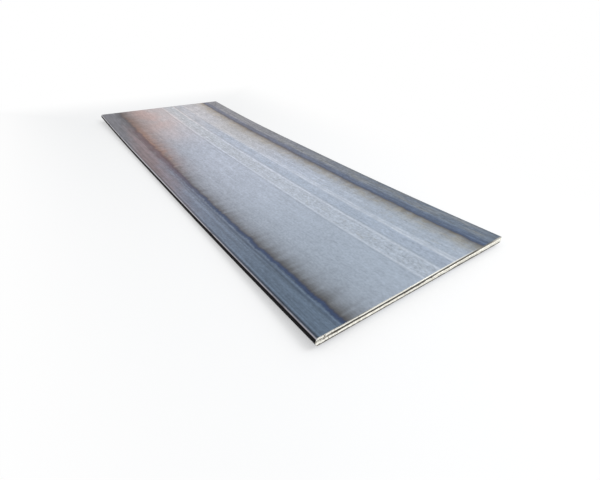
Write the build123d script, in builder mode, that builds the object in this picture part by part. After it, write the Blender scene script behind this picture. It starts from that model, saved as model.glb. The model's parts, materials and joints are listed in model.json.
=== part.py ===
# Hot-rolled steel plate, cut to length.
# The plate lies on the flat zone in its middle, and both ends curl up a little.
# X runs across the plate, Y along it, Z up. The origin is on the underside, in the middle.
# The rolled edges keep the bulge and the round arrises that the mill leaves.
# Both ends are sheared: rolled-over lip, burnished land, break, torn face and burr.
# The near end's lip is on the top side and the far end's is on the underside,
# as on a plate whose two ends were cut in turn by one shear.

import os
from math import cos, radians, sin

from build123d import *

# Overall size in millimetres, with the length measured along the underside
width = 1000.0
length = 2800.0
thickness = 28.0

# Lengthwise bow, with the radii measured to the underside
flat_length = 560.0
near_bow_radius = 34000.0
far_bow_radius = 24000.0

# Rolled edges: how far the middle stands out, and the size of the round arrises
edge_bulge = 2.5
arris_height = 4.0
arris_run = 5.2

# Sheared ends, with heights measured from the face that has the rolled-over lip
lip_radius = 2.5
land_height = 6.0
break_depth = 1.8
break_height = 3.2
ledge_height = 1.6
torn_lean = 1.0
burr_height = 0.8
burr_width = 1.2

# How far the shape that trims the rolled edges reaches past the plate
overrun = 12.0

half_thickness = thickness / 2
curl_run = (length - flat_length) / 2
lip_run = curl_run - lip_radius
burr_run = curl_run + torn_lean - burr_width
trim_run = curl_run + overrun


def on_curl(side, radius, run, height):
    """A point of the side view: run along the curl from the flat zone, height above the underside."""
    angle = run / radius
    reach = radius - height
    return (side * (flat_length / 2 + reach * sin(angle)), radius - reach * cos(angle))


def near(run, height):
    """A point on the near end's curl."""
    return on_curl(-1, near_bow_radius, run, height)


def far(run, height):
    """A point on the far end's curl."""
    return on_curl(1, far_bow_radius, run, height)


def curl_arc(curl, height, run):
    """An arc along a curl at one height, from the flat zone out."""
    return ThreePointArc(curl(0, height), curl(run / 2, height), curl(run, height))


def sheared_end(curl, lip_height, burr_side):
    """The outline of one end from lip to burr. burr_side is 1 if the burr is above the lip, else -1."""

    def point(out, depth):
        return curl(curl_run + out, lip_height + burr_side * depth)

    lip_middle = lip_radius * (1 - cos(radians(45)))
    land_foot = lip_radius + land_height
    break_foot = land_foot + break_height
    ledge_foot = break_foot + ledge_height
    ThreePointArc(point(-lip_radius, 0), point(-lip_middle, lip_middle), point(0, lip_radius))
    Polyline(
        point(0, lip_radius),
        point(0, land_foot),
        point(-break_depth, break_foot),
        point(0, ledge_foot),
        point(torn_lean, thickness),
        point(torn_lean, thickness + burr_height),
        point(torn_lean - burr_width, thickness),
    )


with BuildPart() as steel_plate:
    # Side view, drawn out across the plate
    with BuildSketch(Plane.YZ):
        with BuildLine():
            Line(near(0, 0), far(0, 0))
            curl_arc(far, 0, lip_run)
            sheared_end(far, 0, 1)
            curl_arc(far, thickness, burr_run)
            Line(near(0, thickness), far(0, thickness))
            curl_arc(near, thickness, lip_run)
            sheared_end(near, thickness, -1)
            curl_arc(near, 0, burr_run)
        make_face()
    extrude(amount=width / 2 + overrun, both=True)

    # Rolled edges: a quarter of their outline, mirrored twice and carried along the bow
    with BuildLine(Plane.YZ) as bow:
        curl_arc(near, half_thickness, trim_run)
        Line(near(0, half_thickness), far(0, half_thickness))
        curl_arc(far, half_thickness, trim_run)
    bow_path = bow.wire()
    with BuildSketch(Plane(bow_path @ 0, x_dir=(1, 0, 0), z_dir=bow_path % 0)):
        with BuildLine():
            foot_x = width / 2 - edge_bulge
            foot = (foot_x, half_thickness - arris_height)
            bulge = TangentArc((width / 2, 0), foot, tangent=(0, 1))
            arris = TangentArc(foot, (foot_x - arris_run, half_thickness), tangent=bulge % 1)
            relief = Line(arris @ 1, arris @ 1 + (arris % 1) * overrun)
            Line(relief @ 1, (0, (relief @ 1).Y))
            mirror(about=Plane.XZ)
            mirror(about=Plane.YZ)
        make_face()
    sweep(path=bow_path, mode=Mode.INTERSECT)

os.makedirs("parts", exist_ok=True)
steel_plate.part.label = "steel_plate"
export_step(steel_plate.part, "parts/steel_plate.step")
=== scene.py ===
import json
import math

import bmesh
import bpy
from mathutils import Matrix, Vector, noise


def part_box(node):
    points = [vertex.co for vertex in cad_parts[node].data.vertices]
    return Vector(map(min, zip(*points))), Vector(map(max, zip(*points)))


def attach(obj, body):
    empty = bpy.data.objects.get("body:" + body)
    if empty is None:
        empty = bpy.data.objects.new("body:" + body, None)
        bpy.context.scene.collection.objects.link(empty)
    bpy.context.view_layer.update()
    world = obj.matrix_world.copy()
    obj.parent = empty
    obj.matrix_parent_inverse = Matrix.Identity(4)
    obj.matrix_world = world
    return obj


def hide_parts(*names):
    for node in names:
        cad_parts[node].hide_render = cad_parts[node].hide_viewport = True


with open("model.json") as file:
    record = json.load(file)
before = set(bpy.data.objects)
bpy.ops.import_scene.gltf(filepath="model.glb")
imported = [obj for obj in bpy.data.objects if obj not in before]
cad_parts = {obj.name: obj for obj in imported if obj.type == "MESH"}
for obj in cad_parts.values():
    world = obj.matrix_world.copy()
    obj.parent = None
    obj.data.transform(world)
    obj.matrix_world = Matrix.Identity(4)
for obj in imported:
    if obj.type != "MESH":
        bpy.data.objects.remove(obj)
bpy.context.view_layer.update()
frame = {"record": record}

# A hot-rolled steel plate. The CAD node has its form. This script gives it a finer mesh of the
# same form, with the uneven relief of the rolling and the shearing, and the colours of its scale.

NODE = "steel_plate"
mounts = {mount["name"]: mount for mount in frame["record"]["mounts"]}

# Form, in metres: the same driving sizes as the part, with those that the frame tells read from it
HALF_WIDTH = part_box(NODE)[1].x
THICKNESS = mounts["top_face"]["pos_m"][2]
LENGTH = 2.8
FLAT_LENGTH = 0.56
NEAR_BOW_RADIUS = 34.0
FAR_BOW_RADIUS = 24.0
EDGE_BULGE = 0.0025
ARRIS_HEIGHT = 0.004
ARRIS_RUN = 0.0052
LIP_RADIUS = 0.0025
LAND_HEIGHT = 0.006
BREAK_DEPTH = 0.0018
BREAK_HEIGHT = 0.0032
LEDGE_HEIGHT = 0.0016
TORN_LEAN = 0.001
BURR_HEIGHT = 0.0008
BURR_WIDTH = 0.0012

# Relief of the rolled faces and edges, in metres: how far they lie under the CAD faces, and how
# much their wide hills and their narrow ones add to that or take away
FACE_SINK = 0.00012
FACE_SWELL = 0.00008
FACE_RIPPLE = 0.00004
EDGE_SINK = 0.00025
EDGE_SWELL = 0.00018
EDGE_RIPPLE = 0.00007

# Relief of the sheared ends, in metres: how far the break wanders up and down in long and in short
# waves, and how deep the roughness of the break, that of the torn face and its scallops go
LONG_WANDER = 0.0013
SHORT_WANDER = 0.0006
BREAK_ROUGHNESS = 0.0004
TORN_ROUGHNESS = 0.0004
TORN_SCALLOPS = 0.0008

# How far from its corners an end's burr fades out, as a share of the half width
BURR_FADE = 0.012

# Mesh density: columns across a rolled face, cells of an end to each column, stations along
COLUMNS = 96
END_SPLIT = 4
STATIONS = 232

# Faces that meet at more than this many degrees meet in a sharp edge
SHARP_ANGLE = 38

# Camera, fitted to the plate's corners and edges in the photograph
CAMERA_PLACE = (-0.9688, -1.9366, 0.8483)
CAMERA_TURN = (56.867, -1.569, -35.788)
CAMERA_LENS = 21.81
CAMERA_SENSOR = 36.0
CAMERA_REACH = 200.0

# Stage and light. The floor turns plain white between two distances from the plate, its fade.
WHITE = (1.0, 1.0, 1.0, 1.0)
FLOOR_PALE = (0.92, 0.92, 0.92, 1.0)
FLOOR_REACH = 30.0
FLOOR_FADE = (0.1, 0.9)
SKY_COLOUR = (0.97, 0.985, 1.0, 1.0)
SKY_STRENGTH = 0.78
LAMP_PLACE = (2.4, -3.6, 4.2)
LAMP_TARGET = (0.0, 0.2, 0.0)
LAMP_SIZE = 3.0
LAMP_POWER = 130.0


# Form of the plate

def on_curl(side, radius, run, height):
    """(y, z) at a run from the flat zone's end and a height above the underside."""
    angle = run / radius
    reach = radius - height
    return side * (FLAT_LENGTH / 2 + reach * math.sin(angle)), radius - reach * math.cos(angle)


def on_plate(x, run, height):
    """A point of the plate. The run goes along the underside from the middle, the height up from it."""
    past_flat = abs(run) - FLAT_LENGTH / 2
    if past_flat <= 0:
        return Vector((x, run, height))
    side, radius = (-1, NEAR_BOW_RADIUS) if run < 0 else (1, FAR_BOW_RADIUS)
    y, z = on_curl(side, radius, past_flat, height)
    return Vector((x, y, z))


def edge_inset(height):
    """How far the rolled edge lies inside the plate's widest point, at a height."""
    off_middle = abs(height - THICKNESS / 2)
    straight = THICKNESS / 2 - ARRIS_HEIGHT
    bulge_radius = (straight ** 2 + EDGE_BULGE ** 2) / (2 * EDGE_BULGE)
    if off_middle <= straight:
        return bulge_radius - math.sqrt(bulge_radius ** 2 - off_middle ** 2)
    start = math.asin(straight / bulge_radius)
    chord = math.atan2(ARRIS_RUN, ARRIS_HEIGHT)
    arris_radius = math.hypot(ARRIS_RUN, ARRIS_HEIGHT) / (2 * math.sin(chord - start))
    rise = math.sin(start) + (off_middle - straight) / arris_radius
    return EDGE_BULGE + arris_radius * (math.cos(start) - math.sqrt(1 - rise ** 2))


def half_width_at(height):
    """Half the plate's width at a height. Past a face, as on the burr, it is the width at that face."""
    return HALF_WIDTH - edge_inset(min(max(height, 0), THICKNESS))


# Zones of a sheared end, from the face with the lip to the other one. The zone of a row is the
# number of the zone that it lies in, plus how far down that zone it is, from 0 to 1.
LIP, LAND, BREAK, LEDGE, TORN, FOOT = range(6)


def shares(steps):
    """Even shares of the way from 0 to 1, without 0."""
    return [(i + 1) / steps for i in range(steps)]


def end_profile():
    """The rows of a sheared end, from the face with the lip to the other, as (out, depth, zone)."""
    land_foot = LIP_RADIUS + LAND_HEIGHT
    break_foot = land_foot + BREAK_HEIGHT
    ledge_foot = break_foot + LEDGE_HEIGHT
    rows = [(-LIP_RADIUS, 0, LIP)]
    for share in shares(4):
        angle = share * math.pi / 2
        out = LIP_RADIUS * (math.sin(angle) - 1)
        depth = LIP_RADIUS * (1 - math.cos(angle))
        rows.append((out, depth, LIP + share))
    stretches = (
        (LAND, 3, (0, LIP_RADIUS), (0, land_foot)),
        (BREAK, 2, (0, land_foot), (-BREAK_DEPTH, break_foot)),
        (LEDGE, 2, (-BREAK_DEPTH, break_foot), (0, ledge_foot)),
        (TORN, 7, (0, ledge_foot), (TORN_LEAN, THICKNESS)),
    )
    for zone, steps, start, end in stretches:
        for share in shares(steps):
            out, depth = Vector(start).lerp(Vector(end), share)
            rows.append((out, depth, zone + share))
    return rows


# Below the profile's last row come the burr's tip and its root
PROFILE = end_profile()
LAST_ROW = len(PROFILE) - 1
TIP_ROW = LAST_ROW + 1
ROOT_ROW = LAST_ROW + 2


def ramp(value, start, end):
    """0 at start and 1 at end, smooth between them."""
    t = min(max((value - start) / (end - start), 0), 1)
    return t * t * (3 - 2 * t)


def hills(x, y, size, seed):
    """Smooth noise from about -1 to 1, with hills about as wide as the size."""
    return noise.noise(Vector((x / size, y / size, seed)))


def profile_place(x, row, seed):
    """(out, depth) of a row of the profile, with the wandering break and the rough torn face."""
    out, depth, zone = PROFILE[row]
    wander = ramp(zone, LAND, BREAK) * ramp(zone, FOOT, TORN)
    depth += wander * (LONG_WANDER * hills(x, 0, 0.09, seed) + SHORT_WANDER * hills(x, 0, 0.02, seed + 1))
    torn = ramp(zone, TORN, TORN + 0.3)
    rough = abs(hills(x, depth, 0.007, seed + 2)) + 0.6 * abs(hills(x, depth, 0.003, seed + 3))
    scallop = abs(hills(x, depth * 2, 0.05, seed + 4))
    out -= torn * (TORN_ROUGHNESS * rough + TORN_SCALLOPS * scallop)
    broken = ramp(zone, LAND, BREAK) * ramp(zone, TORN + 0.5, LEDGE)
    out -= broken * BREAK_ROUGHNESS * abs(hills(x, 0, 0.011, seed + 6))
    return out, depth


def burr_place(x, share, row, seed):
    """(out, depth) of the burr's tip or root. The burr is uneven, and fades out at the corners."""
    fade = ramp(1 - abs(share), 0, BURR_FADE)
    if row == TIP_ROW:
        uneven = 0.35 + 0.6 * abs(hills(x, 0, 0.014, seed + 5))
        return TORN_LEAN, THICKNESS + BURR_HEIGHT * fade * uneven
    return TORN_LEAN - BURR_WIDTH * fade, THICKNESS


def end_point(side, share, row):
    """A point of a sheared end, and its depth on an even end.

    Side is -1 at the near end and 1 at the far one. The share runs from -1 to 1 across the end.
    """
    x = share * HALF_WIDTH
    seed = 3.7 * side
    if row > LAST_ROW:
        out, depth = burr_place(x, share, row, seed)
        even_depth = THICKNESS
    else:
        out, depth = profile_place(x, row, seed)
        even_depth = PROFILE[row][1]
    height = THICKNESS - depth if side < 0 else depth
    return on_plate(share * half_width_at(height), side * (LENGTH / 2 + out), height), even_depth


def face_relief(x, y):
    """How far a rolled face lies under its CAD face."""
    swell = FACE_SWELL * hills(x, y * 0.6, 0.16, 11.3)
    return FACE_SINK + swell + FACE_RIPPLE * hills(x, y * 0.5, 0.045, 23.1)


def edge_relief(y, height):
    """How far a rolled edge lies inside its CAD face."""
    swell = EDGE_SWELL * hills(y * 0.7, height, 0.05, 31.9)
    return EDGE_SINK + swell + EDGE_RIPPLE * hills(y, height, 0.012, 37.1)


# Mesh of the plate. Each patch has its material and its part of the map: a corner, the way along
# a row and the way from row to row. The top face has the largest part.

SCALE, EDGE, SHEARED = range(3)
MAP = {
    "top": ((0.005, 0.005), (0.555, 0), (0, 0.99)),
    "bottom": ((0.575, 0.005), (0.285, 0), (0, 0.99)),
    "left": ((0.872, 0.005), (0.020, 0), (0, 0.99)),
    "right": ((0.904, 0.005), (0.020, 0), (0, 0.99)),
    "near": ((0.936, 0.005), (0, 0.99), (0.025, 0)),
    "far": ((0.972, 0.005), (0, 0.99), (0.025, 0)),
}


class Skin:
    """Collects the plate's points and faces, and makes the mesh."""

    def __init__(self):
        self.points = []
        self.depths = []
        self.faces = []
        self.materials = []
        self.map_places = []

    def point(self, place, depth=0.0):
        """Adds a point, with its even depth if it is on a sheared end, and returns its number."""
        self.points.append(place)
        self.depths.append(depth)
        return len(self.points) - 1

    def patch(self, rows, material, part):
        """Faces between rows of points. A row may have END_SPLIT times as many cells as its neighbour."""
        corner, along_row, row_to_row = (Vector(v) for v in MAP[part])
        for number, (here, there) in enumerate(zip(rows, rows[1:])):
            cells = min(len(here), len(there)) - 1
            for cell in range(cells):
                loop = []
                for row, line, order in ((number, here, 1), (number + 1, there, -1)):
                    split = (len(line) - 1) // cells
                    for i in range(cell * split, (cell + 1) * split + 1)[::order]:
                        across = along_row * i / (len(line) - 1)
                        loop.append((line[i], corner + across + row_to_row * row / (len(rows) - 1)))
                self.face(loop, material)

    def face(self, loop, material):
        """A face from (point, place on the map) pairs, leaving out a point that comes twice in turn."""
        kept = [pair for i, pair in enumerate(loop) if pair[0] != loop[i - 1][0]]
        if len(kept) > 2:
            self.faces.append([pair[0] for pair in kept])
            self.materials.append(material)
            self.map_places += [value for pair in kept for value in pair[1]]

    def mesh(self, name):
        """The mesh of all patches, with the even depths and the map."""
        mesh = bpy.data.meshes.new(name)
        mesh.from_pydata(self.points, [], self.faces)
        mesh.attributes.new("depth", "FLOAT", "POINT").data.foreach_set("value", self.depths)
        mesh.uv_layers.new(name="OFBake").data.foreach_set("uv", self.map_places)
        mesh.polygons.foreach_set("material_index", self.materials)
        work = bmesh.new()
        work.from_mesh(mesh)
        bmesh.ops.recalc_face_normals(work, faces=work.faces)
        work.to_mesh(mesh)
        work.free()
        mesh.shade_smooth()
        mesh.set_sharp_from_angle(angle=math.radians(SHARP_ANGLE))
        return mesh


def end_rows(skin, side):
    """The rows of a sheared end, from the lip down to the burr's root."""
    cells = COLUMNS * END_SPLIT
    rows = []
    for row in range(ROOT_ROW + 1):
        points = [skin.point(*end_point(side, 2 * i / cells - 1, row)) for i in range(1, cells)]
        if row <= LAST_ROW:
            ends = [skin.point(*end_point(side, share, row)) for share in (-1, 1)]
        rows.append([ends[0], *points, ends[1]])
    return rows


def rolled_face(skin, near_line, far_line, height, inward):
    """The lines of points across a rolled face, from the near end to the far one."""
    lines = [near_line]
    half = half_width_at(height)
    for station in range(1, STATIONS):
        run = LENGTH * (station / STATIONS - 0.5)
        line = []
        for column in range(COLUMNS + 1):
            x = half * (2 * column / COLUMNS - 1)
            line.append(skin.point(on_plate(x, run, height + inward * face_relief(x, run * inward))))
        lines.append(line)
    lines.append(far_line)
    return lines


def rolled_edge_lines(skin, side, near_line, far_line, top, bottom):
    """The lines of points down a rolled edge, from the near end to the far one."""
    lines = [near_line]
    for station in range(1, STATIONS):
        share = station / STATIONS
        run = LENGTH * (share - 0.5)
        line = [top[station]]
        for row in range(1, LAST_ROW):
            near_height = THICKNESS - PROFILE[row][1]
            far_height = PROFILE[LAST_ROW - row][1]
            height = near_height + (far_height - near_height) * share
            fade = ramp(min(height, THICKNESS - height), 0, ARRIS_HEIGHT)
            half = half_width_at(height) - fade * edge_relief(side * run, height)
            line.append(skin.point(on_plate(side * half, run, height)))
        lines.append([*line, bottom[station]])
    lines.append(far_line)
    return lines


def plate_mesh():
    """The whole plate as one closed mesh."""
    skin = Skin()
    near, far = end_rows(skin, -1), end_rows(skin, 1)
    top = rolled_face(skin, near[0], far[-1], THICKNESS, -1)
    bottom = rolled_face(skin, near[-1], far[0], 0, 1)
    skin.patch(top, SCALE, "top")
    skin.patch(bottom, SCALE, "bottom")
    for side, end, part in ((-1, 0, "left"), (1, -1, "right")):
        near_line = [row[end] for row in near[:LAST_ROW + 1]]
        far_line = [row[end] for row in far[LAST_ROW::-1]]
        face_ends = ([line[end] for line in top], [line[end] for line in bottom])
        skin.patch(rolled_edge_lines(skin, side, near_line, far_line, *face_ends), EDGE, part)
    skin.patch(near, SHEARED, "near")
    skin.patch(far, SHEARED, "far")
    return skin.mesh("plate_skin")


# Nodes of the materials

# A noise whose hills are this wide or this long is even that way
EVEN = 9.0

# A noise stays mostly within 0.2 of its middle, so this gain makes it swing by about 1
SWING_GAIN = 5.0


class Net:
    """The nodes of a material or a world. Each call adds nodes, and returns their output."""

    def __init__(self, tree):
        self.tree = tree

    def add(self, kind, *inputs, **settings):
        """A new node, with its settings and its first inputs."""
        node = self.tree.nodes.new(kind)
        for name, value in settings.items():
            setattr(node, name, value)
        for socket, value in zip(node.inputs, inputs):
            self.feed(socket, value)
        return node

    def feed(self, socket, value):
        """Links a node's output to the socket, or sets the socket to a number or a colour."""
        if isinstance(value, bpy.types.NodeSocket):
            self.tree.links.new(value, socket)
        else:
            socket.default_value = value

    def math(self, operation, *inputs):
        return self.add("ShaderNodeMath", *inputs, operation=operation).outputs[0]

    def sum(self, *terms):
        total = terms[0]
        for term in terms[1:]:
            total = self.math("ADD", total, term)
        return total

    def times(self, *factors):
        total = factors[0]
        for factor in factors[1:]:
            total = self.math("MULTIPLY", total, factor)
        return total

    def less(self, value, other):
        return self.math("SUBTRACT", value, other)

    def larger(self, value, other):
        return self.math("MAXIMUM", value, other)

    def plus(self, base, share, amount):
        """The base, and the share of the amount on top."""
        return self.sum(base, self.times(share, amount))

    def step(self, value, start, end):
        """0 at start and 1 at end, smooth between them. End may be below start."""
        return self.add("ShaderNodeMapRange", value, start, end, interpolation_type="SMOOTHSTEP").outputs[0]

    def line(self, value, centre, reach):
        """1 on centre, fading to 0 at reach on both sides."""
        return self.step(self.math("ABSOLUTE", self.less(value, centre)), reach, 0.0)

    def between(self, value, start, end, soft):
        """1 from start to end, fading to 0 outside. Each fade reaches soft to both sides."""
        rise = self.step(value, start - soft, start + soft)
        fall = self.step(value, end + soft, end - soft)
        return self.times(rise, fall)

    def mix(self, factor, first, second):
        """The first colour at 0, the second one at 1."""
        node = self.add("ShaderNodeMix", data_type="RGBA", clamp_factor=True)
        sockets = [socket for socket in node.inputs if socket.enabled]
        for socket, value in zip(sockets, (factor, first, second)):
            self.feed(socket, value)
        return next(output for output in node.outputs if output.enabled)

    def gain(self, colour, factor):
        """The colour made brighter by the factor."""
        node = self.add("ShaderNodeVectorMath", colour, operation="SCALE")
        self.feed(node.inputs["Scale"], factor)
        return node.outputs[0]

    def rays(self, *kinds):
        """1 where the light's path is of one of the kinds, else 0."""
        paths = self.add("ShaderNodeLightPath").outputs
        found = paths[kinds[0]]
        for kind in kinds[1:]:
            found = self.larger(found, paths[kind])
        return found


class Surface(Net):
    """A new material. Its x, y and z are the place in the frame, in metres."""

    def __init__(self, name):
        self.material = bpy.data.materials.new(name)
        self.material.use_nodes = True
        super().__init__(self.material.node_tree)
        self.shader = self.tree.nodes["Principled BSDF"]
        place = self.add("ShaderNodeTexCoord").outputs["Object"]
        self.x, self.y, self.z = self.add("ShaderNodeSeparateXYZ", place).outputs

    def noise(self, width, length, seed, detail=2.0, rough=0.5):
        """Noise around 0.5, with hills about width across the plate and length along it."""
        spot = (
            self.times(self.x, 1 / width),
            self.times(self.y, 1 / length),
            self.plus(seed, self.z, 1 / width),
        )
        node = self.add("ShaderNodeTexNoise", self.add("ShaderNodeCombineXYZ", *spot).outputs[0])
        self.feed(node.inputs["Scale"], 1.0)
        self.feed(node.inputs["Detail"], detail)
        self.feed(node.inputs["Roughness"], rough)
        return node.outputs[0]

    def swing(self, width, length, amount, seed, detail=2.0):
        """Noise that swings about 0 by about the amount."""
        return self.times(self.less(self.noise(width, length, seed, detail), 0.5), SWING_GAIN * amount)

    def bump(self, height, distance):
        node = self.add("ShaderNodeBump")
        self.feed(node.inputs["Strength"], 1.0)
        self.feed(node.inputs["Distance"], distance)
        self.feed(node.inputs["Height"], height)
        self.feed(self.shader.inputs["Normal"], node.outputs[0])

    def finish(self, colour, roughness, metallic, specular=0.5):
        self.feed(self.shader.inputs["Base Color"], colour)
        self.feed(self.shader.inputs["Roughness"], roughness)
        self.feed(self.shader.inputs["Metallic"], metallic)
        self.feed(self.shader.inputs["Specular IOR Level"], specular)
        return self.material


# Colours of the plate, as they show on screen

def paint(red, green, blue):
    """A colour given as it shows on screen, 0 to 255, as the linear colour that nodes take."""
    linear = []
    for part in (red, green, blue):
        share = part / 255
        linear.append(share / 12.92 if share <= 0.04045 else ((share + 0.055) / 1.055) ** 2.4)
    return (*linear, 1.0)


FIELD_NEAR = paint(158, 169, 183)
FIELD_MIDDLE = paint(179, 186, 201)
FIELD_FAR = paint(195, 192, 196)
SMOOTH_BLUE = paint(160, 172, 189)
STIPPLED_PALE = paint(185, 190, 197)
FLECK_GREY = paint(158, 161, 160)
SLATE_NEAR = paint(89, 104, 121)
SLATE_MIDDLE = paint(121, 129, 147)
SLATE_MAUVE = paint(124, 108, 112)
SLATE_FAR = paint(106, 105, 113)
NAVY_NEAR = paint(46, 62, 94)
NAVY_MAUVE = paint(92, 66, 74)
NAVY_FAR = paint(72, 70, 78)
BLUE_NEAR = paint(76, 92, 116)
BLUE_FAR = paint(95, 98, 117)
OLIVE_GREY = paint(134, 134, 130)
GREY_NEAR = paint(95, 107, 122)
GREY_FAR = paint(130, 129, 136)
BROWN_NEAR = paint(50, 44, 40)
BROWN_FAR = paint(70, 52, 46)
OLIVE_BROWN = paint(64, 56, 41)
WARM_GREY = paint(184, 176, 166)
LINE_PALE = paint(222, 214, 204)
PINK_TINT = paint(213, 181, 175)
ORANGE_TINT = paint(184, 138, 117)
BEIGE_NEAR = paint(158, 150, 126)
BEIGE_FAR = paint(184, 170, 148)
BARE_STEEL = paint(252, 250, 240)
LIP_GREY = paint(92, 92, 90)
# Painted shade, for the break of the sheared ends, their rim and the torn face towards the burr
BREAK_PAINTED_SHADE = paint(60, 56, 49)
TORN_SHADE = paint(224, 219, 204)
SPECK_BROWN = paint(72, 58, 42)
# The long edges' dark scale, darkened further as painted shade
EDGE_SCALE_AND_SHADE_BLACK = paint(4, 4, 6)
EDGE_SCALE_AND_SHADE_GREY = paint(24, 23, 26)
EDGE_RUST = paint(54, 42, 33)
# The pale line along the upper arris: part wear, part painted highlight
ARRIS_WEAR_AND_HIGHLIGHT_NEAR = paint(174, 169, 174)
ARRIS_WEAR_AND_HIGHLIGHT_FAR = paint(226, 221, 223)


# Rolled faces. Across is the distance from the left edge, and along the distance from the middle,
# in metres. Inside is the distance from a dark band's border towards the pale field. Far is 0 at
# the near end and 1 towards the far one.

LEFT_BORDER = 0.112
RIGHT_BORDER = 0.860
WARM_STRIP = (0.67, 0.88)
STIPPLED_STRIP = (0.494, 0.574)
SMOOTH_STRIP = (0.598, 0.662)
GRAINY_STRIP = (0.692, 0.845)

# Lines along the left band: place across, reach to both sides, how much brighter, and the places
# along the plate where the line starts and where it is full
LEFT_BAND_LINES = (
    (0.105, 0.026, -0.22, 0.4, 1.0),
    (0.012, 0.007, -0.14, -0.8, -1.2),
    (0.020, 0.006, 0.28, 0.9, -0.4),
    (0.065, 0.008, 0.24, 0.2, -0.6),
    (0.098, 0.006, 0.26, -0.7, -1.1),
    (0.087, 0.008, -0.24, 0.1, -0.7),
)


def field_ground(net, across, along):
    """The ground colour between the bands: bluer near, paler and warmer far."""
    colour = net.mix(net.step(along, -1.3, 0.2), FIELD_NEAR, FIELD_MIDDLE)
    colour = net.mix(net.step(along, 0.2, 1.3), colour, FIELD_FAR)
    warm = net.times(
        net.between(across, *WARM_STRIP, 0.03),
        net.step(along, -0.25, 0.35),
        net.step(along, 1.0, 0.65),
    )
    return net.mix(net.times(warm, 0.40), colour, WARM_GREY)


def roll_lines(net, seat, along, far):
    """The bright lines and the dark ones that the rolls leave along the field."""

    def line(place, reach, *strength):
        return net.times(net.line(seat, place, reach), *strength)

    steady = net.plus(0.4, net.step(net.noise(EVEN, 0.30, 6.0), 0.25, 0.50), 0.6)
    patchy = net.step(net.noise(EVEN, 0.12, 5.0), 0.35, 0.60)
    broken = net.step(net.noise(0.012, 0.045, 28.0, 3.0), 0.30, 0.62)
    bright = net.sum(
        line(0.487, 0.011, 0.28, steady),
        line(0.580, 0.011, 0.32, steady),
        line(0.668, 0.011, net.plus(0.32, far, -0.20), net.plus(0.3, patchy, 0.7)),
        line(0.688, 0.010, net.plus(0.22, far, -0.06), patchy),
        line(0.678, 0.024, net.plus(0.12, far, -0.10)),
        line(0.742, 0.012, 0.12, patchy),
    )
    dark = net.sum(
        line(0.475, 0.009, net.plus(0.12, far, 0.10)),
        line(0.475, 0.009, net.step(along, 0.3, 1.0), 0.08),
        line(0.593, 0.010, net.plus(0.14, far, 0.06)),
    )
    return net.times(bright, net.plus(0.55, broken, 0.6)), dark


def field_grains(net, stippled, smooth, grainy, far):
    """Fine grains, lighter and darker than the ground, boldest on the stippled strip."""
    grains = net.sum(net.swing(0.009, 0.013, 0.75, 7.0, 3.0), net.swing(0.014, 0.050, 0.45, 36.0, 3.0))
    strength = net.sum(
        0.06,
        net.times(stippled, 0.16),
        net.times(grainy, 0.08),
        net.times(smooth, 0.06),
        net.times(far, 0.05),
    )
    return net.times(grains, strength)


def smooth_clouds(net, smooth, along):
    """Lighter and darker clouds on the smooth strip, which is dimmer at the near end."""
    dimmer = net.times(net.step(along, -1.05, -1.35), -0.07)
    return net.times(smooth, net.sum(net.swing(0.022, 0.050, 0.065, 35.0, 3.0), dimmer))


def pale_field(net, across, along, far):
    """The field between the bands, with its roll lines and strips. Returns its colour and relief."""
    colour = field_ground(net, across, along)
    seat = net.sum(across, net.swing(EVEN, 0.35, 0.002, 4.0))
    bright, dark = roll_lines(net, seat, along, far)
    ridges = net.less(bright, dark)
    stippled = net.between(seat, *STIPPLED_STRIP, 0.004)
    smooth = net.between(seat, *SMOOTH_STRIP, 0.004)
    grainy = net.between(seat, *GRAINY_STRIP, 0.010)
    blotch = net.step(net.noise(0.05, 0.12, 34.0, 4.0), 0.30, 0.62)
    bluer = net.times(smooth, net.plus(0.82, far, -0.50), net.plus(0.30, blotch, 0.70))
    colour = net.mix(bluer, colour, SMOOTH_BLUE)
    colour = net.mix(net.times(stippled, net.plus(0.20, far, 0.45)), colour, STIPPLED_PALE)
    flecks = net.step(net.noise(0.024, 0.040, 27.0, 4.0), 0.56, 0.72)
    colour = net.mix(net.times(flecks, net.larger(stippled, grainy), 0.35), colour, FLECK_GREY)
    grains = field_grains(net, stippled, smooth, grainy, far)
    clouds = smooth_clouds(net, smooth, along)
    colour = net.gain(colour, net.sum(1.0, net.times(ridges, 0.75), grains, clouds))
    colour = net.mix(net.times(bright, 0.5), colour, LINE_PALE)
    relief = net.sum(net.times(ridges, 2.0), net.times(grains, 3.5))
    return colour, relief


def pink_tint(net, colour, inside, along):
    """The pink tint at the far end, beside the left border."""
    patches = net.step(net.noise(0.12, 0.20, 10.0, 3.0), 0.30, 0.65)
    reach = net.times(net.step(inside, 0.00, 0.14), net.step(inside, 0.46, 0.14))
    pink = net.times(net.step(along, 0.3, 1.2), reach, net.plus(0.45, patches, 0.55))
    return net.mix(net.times(pink, 0.80), colour, PINK_TINT)


def orange_tint(net, colour, inside, along):
    """The orange tint along the far half of the left border."""
    reach = net.times(net.step(along, -0.20, 0.55), net.step(along, 1.45, 0.90))
    patches = net.step(net.noise(0.035, 0.09, 11.0, 3.0), 0.25, 0.65)
    close = net.times(net.step(inside, 0.070, 0.010), 0.28)
    around = net.times(net.step(inside, 0.160, 0.010), 0.48)
    orange = net.times(net.sum(close, around), net.plus(0.50, patches, 0.50))
    return net.mix(net.times(reach, orange), colour, ORANGE_TINT)


def haze(net, inside, reach, share):
    """A dark haze inside a border, thinning away from it."""
    depth = net.math("DIVIDE", net.larger(inside, 0.0), net.times(reach, -1.0))
    return net.times(net.math("EXPONENT", depth), share)


def left_border(net, along, ragged):
    """Where across the left band ends."""
    return net.sum(
        LEFT_BORDER,
        net.times(net.step(along, -1.0, -1.35), 0.004),
        net.times(net.step(along, -0.3, 0.5), 0.013),
        net.swing(EVEN, 0.30, 0.005, 8.0),
        net.times(net.swing(EVEN, 0.07, 0.007, 9.0, 3.0), ragged),
        net.swing(0.20, 0.016, 0.0028, 29.0, 3.0),
    )


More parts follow.
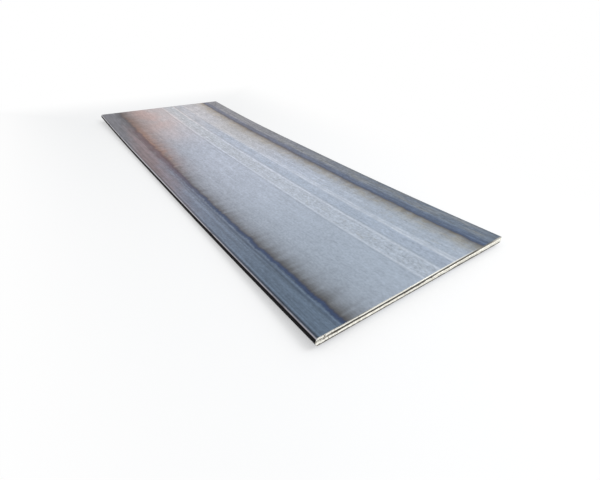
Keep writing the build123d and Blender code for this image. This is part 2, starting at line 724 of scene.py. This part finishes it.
def left_haze(net, colour, inside, along, far):
    """The haze inside the left border: wide and even, then tinted orange, then in narrow brown tongues."""
    middle = net.between(along, -0.85, 0.25, 0.25)
    wide = net.sum(0.078, net.times(far, 0.036), net.times(net.step(along, 0.9, 1.3), 0.022))
    ends = net.plus(net.times(net.step(along, -1.0, -1.35), 0.08), net.step(along, 0.65, 1.05), 0.12)
    share = net.sum(0.75, net.times(middle, -0.07), net.times(net.step(along, -0.3, 0.25), 0.16), ends)
    colour = net.mix(haze(net, inside, wide, share), colour, net.mix(far, OLIVE_BROWN, BROWN_FAR))
    colour = orange_tint(net, colour, inside, along)
    tongues = net.sum(net.step(net.noise(0.4, 0.034, 12.0, 3.0), 0.32, 0.68), -0.5)
    bold = net.larger(middle, net.step(along, -0.9, -1.15))
    tongues = net.plus(0.5, tongues, net.plus(0.5, bold, 0.5))
    reach = net.plus(0.009, tongues, net.plus(0.042, middle, -0.014))
    reach = net.plus(reach, net.between(along, 0.75, 1.25, 0.1), 0.013)
    share = net.plus(0.70, net.step(along, 0.6, 0.9), 0.12)
    return net.mix(haze(net, inside, reach, share), colour, net.mix(far, BROWN_NEAR, BROWN_FAR))


def left_streaks(net, across, along, far):
    """How much brighter the left band is, place by place: streaks, its dark rim and lines along it."""
    bold = net.plus(1.2, net.step(along, -0.6, 0.6), 1.0)
    lines = [
        net.times(net.line(across, place, reach), brighter, net.step(along, start, full))
        for place, reach, brighter, start, full in LEFT_BAND_LINES
    ]
    return net.sum(
        net.times(net.swing(0.006, 1.3, 0.13, 16.0, 3.0), bold),
        net.times(net.swing(0.020, 0.5, 0.06, 18.0, 2.0), bold),
        net.times(net.swing(0.014, 0.050, 0.050, 30.0, 3.0), bold),
        net.times(net.line(across, 0.005, 0.017), net.plus(-0.62, far, 0.44)),
        *lines,
        net.times(net.between(along, 0.65, 1.20, 0.15), -0.06),
    )


def left_slate(net, across, along, far):
    """The left band's colour: slate near, then mauve, which comes first at the edge, and grey far."""
    slate = net.mix(net.step(along, -1.3, 0.1), SLATE_NEAR, SLATE_MIDDLE)
    slanted = net.sum(along, net.times(across, -5.0), net.swing(0.05, 0.12, 0.12, 31.0, 3.0))
    slate = net.mix(net.step(slanted, -0.75, 0.10), slate, SLATE_MAUVE)
    slate = net.mix(net.step(slanted, 0.20, 0.75), slate, SLATE_FAR)
    return net.gain(slate, net.sum(1.0, left_streaks(net, across, along, far)))


def left_navy(net, colour, inside, along, far, ragged):
    """The navy line on the left border, softer far, and a fainter one beside it in the band."""
    navy = net.mix(net.step(along, -0.5, 0.35), NAVY_NEAR, NAVY_MAUVE)
    navy = net.mix(net.step(along, 0.7, 1.1), navy, NAVY_FAR)
    soft = net.times(net.step(along, -0.4, 0.4), 0.009)
    rise = net.step(net.sum(inside, soft), -0.017, -0.006)
    fall = net.step(net.less(inside, soft), 0.014, -0.002)
    first = net.times(rise, fall, net.plus(0.90, far, -0.16))
    second = net.line(net.sum(inside, net.swing(EVEN, 0.09, 0.005, 32.0)), -0.022, 0.010)
    second = net.times(second, ragged, net.step(along, 0.8, 0.3), 0.35)
    return net.mix(net.larger(first, second), colour, navy)


def left_band(net, colour, across, along, far):
    """The dark band along the left edge. Returns the colour and where the band is."""
    ragged = net.plus(0.60, net.step(along, -0.6, 0.0), 0.70)
    inside = net.less(across, left_border(net, along, ragged))
    colour = pink_tint(net, colour, inside, along)
    colour = left_haze(net, colour, inside, along, far)
    within = net.step(inside, 0.004, -0.004)
    colour = net.mix(within, colour, left_slate(net, across, along, far))
    return left_navy(net, colour, inside, along, far, ragged), within


def right_haze(net, colour, inside, along, far):
    """The haze inside the right border: beige and patchy, and brown close to the border."""
    blobs = net.step(net.noise(0.035, 0.06, 15.0, 3.0), 0.40, 0.62)
    beige = net.times(net.step(inside, 0.120, 0.015), net.plus(0.40, blobs, 0.60))
    strong = net.plus(0.62, net.step(along, 0.9, 1.3), 0.15)
    colour = net.mix(net.times(beige, strong), colour, net.mix(far, BEIGE_NEAR, BEIGE_FAR))
    tongues = net.step(net.noise(0.6, 0.035, 19.0, 3.0), 0.15, 0.85)
    reach = net.plus(0.024, tongues, 0.028)
    share = net.plus(0.86, net.step(along, 0.5, 1.2), -0.28)
    return net.mix(haze(net, inside, reach, share), colour, net.mix(far, BROWN_NEAR, BROWN_FAR))


def right_slate(net, inside, across, far):
    """The right band's colour: blue beside its border, grey and patchy olive beside the edge."""
    outer = net.step(inside, -0.033, -0.060)
    slate = net.mix(outer, net.mix(far, BLUE_NEAR, BLUE_FAR), net.mix(far, GREY_NEAR, GREY_FAR))
    olive = net.step(net.noise(0.020, 0.16, 26.0, 4.0), 0.46, 0.68)
    slate = net.mix(net.times(olive, net.step(inside, -0.044, -0.066), 0.50), slate, OLIVE_GREY)
    patches = net.step(net.noise(0.5, 0.16, 22.0), 0.35, 0.65)
    streaks = net.sum(
        net.swing(0.007, 1.0, 0.17, 17.0, 3.0),
        net.swing(0.022, 0.15, 0.15, 23.0, 3.0),
        net.swing(0.011, 0.026, 0.20, 33.0, 3.0),
        net.times(net.line(across, 0.914, 0.008), 0.22, patches),
        net.times(net.line(across, 0.985, 0.012), -0.14),
    )
    return net.gain(slate, net.sum(1.0, streaks))


def right_band(net, colour, across, along, far):
    """The dark band along the right edge. Returns the colour and where the band is."""
    border = net.sum(
        RIGHT_BORDER,
        net.times(net.step(along, -1.15, -1.35), 0.005),
        net.swing(EVEN, 0.25, 0.004, 13.0),
        net.swing(EVEN, 0.06, 0.0035, 14.0, 3.0),
    )
    inside = net.less(border, across)
    colour = right_haze(net, colour, inside, along, far)
    within = net.step(inside, 0.003, -0.006)
    colour = net.mix(within, colour, right_slate(net, inside, across, far))
    navy = net.times(net.step(inside, -0.020, -0.004), net.step(inside, 0.008, -0.002))
    return net.mix(net.times(navy, 0.65), colour, net.mix(far, NAVY_NEAR, NAVY_FAR)), within


# Towards the right of the near end the burnished land thins out, and the break's painted shade comes up to
# the lip. A painted highlight line runs along the rim there.

# y of the near end, at the top face
NEAR_END = on_plate(0, -LENGTH / 2, THICKNESS).y


def thinning(net, across, start, end, amount):
    """How much higher a zone's border lies than at the left of the near end."""
    return net.times(net.step(across, start, end), net.step(net.y, 0.1, -0.1), amount)


def land_rise(net, across):
    """How much higher the land's foot lies than at the left of the near end."""
    return thinning(net, across, 0.22, 0.72, 0.0075)


def rim_highlight_and_shade(net, colour, across, where):
    """The rim of the near end where the land thins out: a painted highlight line, and the break's painted
    shade outside it.
    """
    inward = net.less(net.y, NEAR_END)
    off_line = net.sum(inward, net.times(land_rise(net, across), -0.55), 0.0007)
    share = net.times(net.step(across, 0.32, 0.52), net.step(across, 0.90, 0.74), where)
    dark = net.times(net.step(off_line, -0.0011, -0.0030), share, 0.85)
    bright = net.times(net.line(off_line, 0.0, 0.0040), net.step(across, 0.95, 0.60), share, 0.75)
    return net.mix(bright, net.mix(dark, colour, BREAK_PAINTED_SHADE), BARE_STEEL)


# Materials of the plate

def mill_scale():
    """The rolled faces: a pale field between two dark bands."""
    net = Surface("mill_scale")
    across = net.sum(net.x, HALF_WIDTH)
    along = net.y
    far = net.step(along, -1.35, 1.1)
    colour, relief = pale_field(net, across, along, far)
    colour, in_left = left_band(net, colour, across, along, far)
    colour, in_right = right_band(net, colour, across, along, far)
    bands = net.larger(in_left, in_right)
    fine = net.sum(1.0, net.times(far, 1.0), net.times(bands, 0.6))
    mottle = net.sum(
        net.swing(0.10, 0.30, 0.030, 1.0, 3.0),
        net.times(net.swing(0.022, 0.060, 0.043, 2.0, 3.0), net.plus(0.9, far, 1.3)),
        net.times(net.swing(0.008, 0.30, 0.045, 3.0, 2.0), net.plus(0.9, far, 1.2)),
        net.times(net.swing(0.008, 0.012, 0.085, 24.0, 2.0), fine),
    )
    colour = net.gain(colour, net.sum(1.0, mottle))
    # Painted highlight line and painted shade of the break on the top face's rim at the near end
    colour = rim_highlight_and_shade(net, colour, across, net.step(net.z, 0.030, 0.036))
    net.bump(net.plus(relief, net.noise(0.004, 0.005, 20.0, 3.0), 0.6), 0.0004)
    roughness = net.sum(0.46, net.swing(0.03, 0.08, 0.05, 21.0), net.times(bands, -0.04))
    return net.finish(colour, roughness, 0.30, specular=0.25)


def rolled_edge():
    """The long edges: black scale, darkened further as painted shade, with a pale line along the upper
    arris that is part wear and part painted highlight.
    """
    net = Surface("rolled_edge")
    normal = net.add("ShaderNodeNewGeometry").outputs["Normal"]
    up = net.add("ShaderNodeSeparateXYZ", normal).outputs["Z"]
    # Dark scale, darkened further as painted shade
    colour = net.mix(net.noise(0.01, 0.08, 40.0, 3.0), EDGE_SCALE_AND_SHADE_BLACK, EDGE_SCALE_AND_SHADE_GREY)
    rust = net.step(net.noise(0.006, 0.03, 41.0, 4.0), 0.60, 0.75)
    colour = net.mix(net.times(rust, 0.4), colour, EDGE_RUST)
    # Pale line on the upward-facing arris: part wear, part painted highlight
    arris = net.times(net.step(up, 0.48, 0.70), net.step(up, 0.95, 0.84))
    worn_and_highlit = net.times(arris, net.step(net.noise(0.01, 0.05, 42.0, 3.0), 0.15, 0.5))
    colour = net.mix(worn_and_highlit, colour, net.mix(net.step(net.y, -1.2, 0.2), ARRIS_WEAR_AND_HIGHLIGHT_NEAR, ARRIS_WEAR_AND_HIGHLIGHT_FAR))
    colour = net.mix(net.step(up, 0.88, 0.97), colour, SLATE_MIDDLE)
    net.bump(net.noise(0.003, 0.006, 43.0, 4.0), 0.0006)
    return net.finish(colour, 0.65, 0.0, specular=0.06)


def lip_shade(net, across, depth, merged):
    """How grey the rolled-over lip is. Where the land has gone, the grey reaches further down."""
    dull = net.step(depth, net.plus(0.0023, merged, 0.0055), net.plus(0.0005, merged, 0.0035))
    share = net.sum(0.70, net.times(net.between(across, 0.08, 0.22, 0.03), 0.25), net.times(merged, 0.30))
    return net.times(dull, net.times(share, net.plus(1.0, net.step(across, 0.91, 0.96), -0.35)))


def torn_colour(net, across, corner):
    """The torn face: bare steel with shaded patches, dimmer to the right."""
    patches = net.sum(net.step(net.noise(0.010, 0.010, 51.0, 4.0, 0.6), 0.35, 0.60), corner)
    dimmer = net.sum(1.0, net.times(net.step(across, 0.25, 0.65), -0.15), net.swing(0.05, EVEN, 0.06, 59.0))
    return net.gain(net.mix(patches, TORN_SHADE, BARE_STEEL), dimmer)


def foot_painted_shade(net, across, depth):
    """Painted shade on the torn face, darker towards the burr."""
    foot = net.sum(0.0239, net.swing(0.018, EVEN, 0.0012, 57.0, 3.0), net.swing(0.07, EVEN, 0.0012, 58.0))
    foot = net.plus(foot, net.step(across, 0.5, 0.75), -0.0018)
    return net.times(net.step(net.less(depth, foot), -0.0009, 0.0019), 0.95)


def brown_specks(net, corner):
    """Where the brown specks are. Most are at the left corner."""
    speck = net.plus(net.noise(0.008, 0.004, 52.0, 4.0, 0.6), corner, 0.17)
    return net.times(net.step(speck, 0.66, 0.75), 0.80)


def sheared_steel():
    """The sheared ends: bright burnished land, a break with painted shade, and a torn face with painted
    shade towards the burr.
    """
    net = Surface("sheared_steel")
    depth = net.add("ShaderNodeAttribute", attribute_name="depth").outputs["Fac"]
    across = net.sum(net.x, HALF_WIDTH)
    merged = net.step(across, 0.80, 0.86)
    corner = net.step(across, 0.16, 0.02)
    level = net.sum(depth, net.swing(0.012, EVEN, 0.0007, 55.0, 3.0), net.swing(0.05, EVEN, 0.0007, 56.0))
    land_level = net.sum(level, land_rise(net, across))
    torn_level = net.sum(level, thinning(net, across, 0.30, 0.95, 0.0085))
    kept = net.sum(1.0, net.times(merged, -0.85), net.times(net.step(across, 0.08, 0.02), -0.35))
    # Painted shade of the break's recess, weaker at the left corner and where the land has merged with the
    # lip
    broken = net.times(net.step(land_level, 0.0050, 0.0074), net.step(torn_level, 0.0165, 0.0142), kept)
    torn = net.step(torn_level, 0.0140, 0.0158)
    colour = net.mix(lip_shade(net, across, depth, merged), BARE_STEEL, LIP_GREY)
    colour = net.mix(broken, colour, BREAK_PAINTED_SHADE)
    colour = net.mix(torn, colour, torn_colour(net, across, corner))
    # Painted shade on the torn face towards the burr
    colour = net.mix(foot_painted_shade(net, across, depth), colour, BREAK_PAINTED_SHADE)
    colour = net.mix(brown_specks(net, corner), colour, SPECK_BROWN)
    colour = net.gain(colour, net.sum(1.0, net.swing(0.003, EVEN, 0.05, 50.0)))
    # Painted highlight line and painted shade of the break on the lip at the near end
    colour = rim_highlight_and_shade(net, colour, across, net.step(depth, 0.003, 0.002))
    torn_relief = net.times(torn, net.noise(0.003, 0.003, 54.0, 3.0), 2.0)
    net.bump(net.sum(net.noise(0.0012, EVEN, 53.0), torn_relief), 0.0002)
    roughness = net.sum(0.34, net.times(torn, 0.12), net.times(broken, 0.15))
    return net.finish(colour, roughness, 0.50)


# The plate

plate = bpy.data.objects.new("plate_skin", plate_mesh())
bpy.context.scene.collection.objects.link(plate)
for material in (mill_scale(), rolled_edge(), sheared_steel()):
    plate.data.materials.append(material)
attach(plate, "root")
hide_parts(NODE)


# Stage, light and camera

def floor_finish():
    """A pale floor that shows the plate's shadow beside it, and plain white further off."""
    net = Surface("floor_white")
    net.finish(FLOOR_PALE, 0.9, 0.0, specular=0.0)
    off_side = net.less(net.math("ABSOLUTE", net.x), HALF_WIDTH)
    off_end = net.less(net.math("ABSOLUTE", net.y), LENGTH / 2)
    away = net.step(net.larger(off_side, off_end), *FLOOR_FADE)
    fade = net.times(net.plus(0.4, away, 0.6), net.rays("Is Camera Ray", "Is Glossy Ray"))
    white = net.add("ShaderNodeEmission", WHITE)
    blend = net.add("ShaderNodeMixShader", fade, net.shader.outputs[0], white.outputs[0])
    net.feed(net.tree.nodes["Material Output"].inputs["Surface"], blend.outputs[0])
    return net.material


def make_floor():
    reach = FLOOR_REACH
    corners = [(-reach, -reach, 0), (reach, -reach, 0), (reach, reach, 0), (-reach, reach, 0)]
    mesh = bpy.data.meshes.new("floor")
    mesh.from_pydata(corners, [], [(0, 1, 2, 3)])
    mesh.materials.append(floor_finish())
    floor = bpy.data.objects.new("floor", mesh)
    bpy.context.scene.collection.objects.link(floor)


def make_world():
    """Soft light from all sides, and a white background."""
    world = bpy.data.worlds.new("studio")
    bpy.context.scene.world = world
    world.use_nodes = True
    net = Net(world.node_tree)
    light = net.tree.nodes["Background"]
    net.feed(light.inputs["Color"], SKY_COLOUR)
    net.feed(light.inputs["Strength"], SKY_STRENGTH)
    white = net.add("ShaderNodeBackground", WHITE, 1.0)
    seen = net.rays("Is Camera Ray", "Is Glossy Ray", "Is Transmission Ray")
    blend = net.add("ShaderNodeMixShader", seen, light.outputs[0], white.outputs[0])
    net.feed(net.tree.nodes["World Output"].inputs["Surface"], blend.outputs[0])


def make_lamp():
    data = bpy.data.lights.new("key", "AREA")
    data.shape = "SQUARE"
    data.size = LAMP_SIZE
    data.energy = LAMP_POWER
    lamp = bpy.data.objects.new("key", data)
    lamp.location = LAMP_PLACE
    aim = Vector(LAMP_TARGET) - Vector(LAMP_PLACE)
    lamp.rotation_euler = aim.to_track_quat("-Z", "Y").to_euler()
    bpy.context.scene.collection.objects.link(lamp)


def make_camera():
    data = bpy.data.cameras.new("camera")
    data.sensor_width = CAMERA_SENSOR
    data.lens = CAMERA_LENS
    data.clip_end = CAMERA_REACH
    camera = bpy.data.objects.new("camera", data)
    camera.location = CAMERA_PLACE
    camera.rotation_euler = [math.radians(turn) for turn in CAMERA_TURN]
    bpy.context.scene.collection.objects.link(camera)
    bpy.context.scene.camera = camera


make_floor()
make_world()
make_lamp()
make_camera()
bpy.context.scene.view_settings.view_transform = "Standard"
